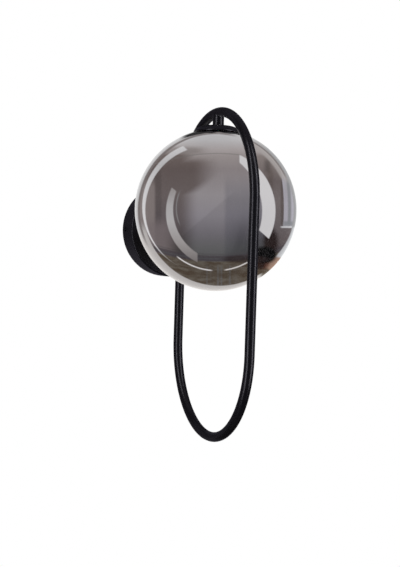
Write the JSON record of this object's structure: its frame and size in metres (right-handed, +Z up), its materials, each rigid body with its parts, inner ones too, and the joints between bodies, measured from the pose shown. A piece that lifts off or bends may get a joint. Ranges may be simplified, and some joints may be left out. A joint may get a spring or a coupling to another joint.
{
  "type": "globe wall sconce",
  "caption": "Wall light: a stadium-shaped ring of round tube stands edge-on to the wall on a boss and round canopy, and a smoked glass globe screws in under its top arc.",
  "frame": {"origin": "centre of the canopy's open back, on the wall", "axes": "+Z up, the wall is the plane y = 0, the front faces -Y, and the ring lies in the plane x = 0"},
  "size_m": [0.2, 0.286, 0.414],
  "materials": {
    "black_paint": "satin black powder coat",
    "smoked_glass": "polished, smoke grey, half mirrored",
    "zinc_steel": "zinc plated",
    "brass": "plain",
    "tinned_copper": "tin plated",
    "nickel_plate": "nickel plated",
    "white_plastic": "moulded",
    "white_ceramic": "fired steatite, thin glaze",
    "clear_silicone": "matt",
    "frosted_envelope": "frosted",
    "led_carrier": "moulded",
    "brown_insulation": "extruded",
    "blue_insulation": "extruded",
    "earth_insulation": "extruded, green with a yellow stripe"
  },
  "bodies": {
    "root": {"ring_tube": "black_paint", "ring_boss": "black_paint", "globe_stem": "black_paint", "canopy": "black_paint", "wall_bracket": "zinc_steel", "canopy_screws": "black_paint", "canopy_nipple": "zinc_steel", "canopy_nut": "zinc_steel", "canopy_washer": "zinc_steel", "cable_bush": "white_plastic", "terminal_block": "white_plastic", "terminal_sleeves": "brass", "clamp_screws": "zinc_steel", "block_screw": "zinc_steel", "bracket_lug": "tinned_copper", "nipple_lug": "tinned_copper", "earth_washer": "zinc_steel", "earth_screw": "brass", "earth_lead": "earth_insulation", "live_wire": "brown_insulation", "neutral_wire": "blue_insulation", "globe_cap": "black_paint", "neck_collar": "zinc_steel", "stem_nipple": "zinc_steel", "stem_washer": "zinc_steel", "stem_nut": "zinc_steel", "stirrup": "zinc_steel", "lampholder": "white_ceramic", "lampholder_contacts": "nickel_plate", "lampholder_screws": "zinc_steel"},
    "gasket": {"neck_gasket": "clear_silicone"},
    "globe": {"glass_globe": "smoked_glass"},
    "lamp": {"lamp_base": "white_plastic", "lamp_pins": "nickel_plate", "lamp_envelope": "frosted_envelope", "led_core": "led_carrier"}
  },
  "joints": [
    {"name": "globe_drop", "type": "slide", "parent": "root", "child": "gasket", "axis": [0, 0, -1], "range_m": [0, 0.006]},
    {"name": "globe_unscrew", "type": "hinge", "parent": "gasket", "child": "globe", "pos_m": [0, -0.1685, 0.025], "axis": [0, 0, -1], "range_deg": [0, 720]},
    {"name": "lamp_pull", "type": "slide", "parent": "root", "child": "lamp", "axis": [0, 0, -1], "range_m": [0, 0.015]}
  ],
  "couplings": [
    {"joint": "globe_drop", "follows": "globe_unscrew", "m_per_rad": 0.00047746}
  ]
}
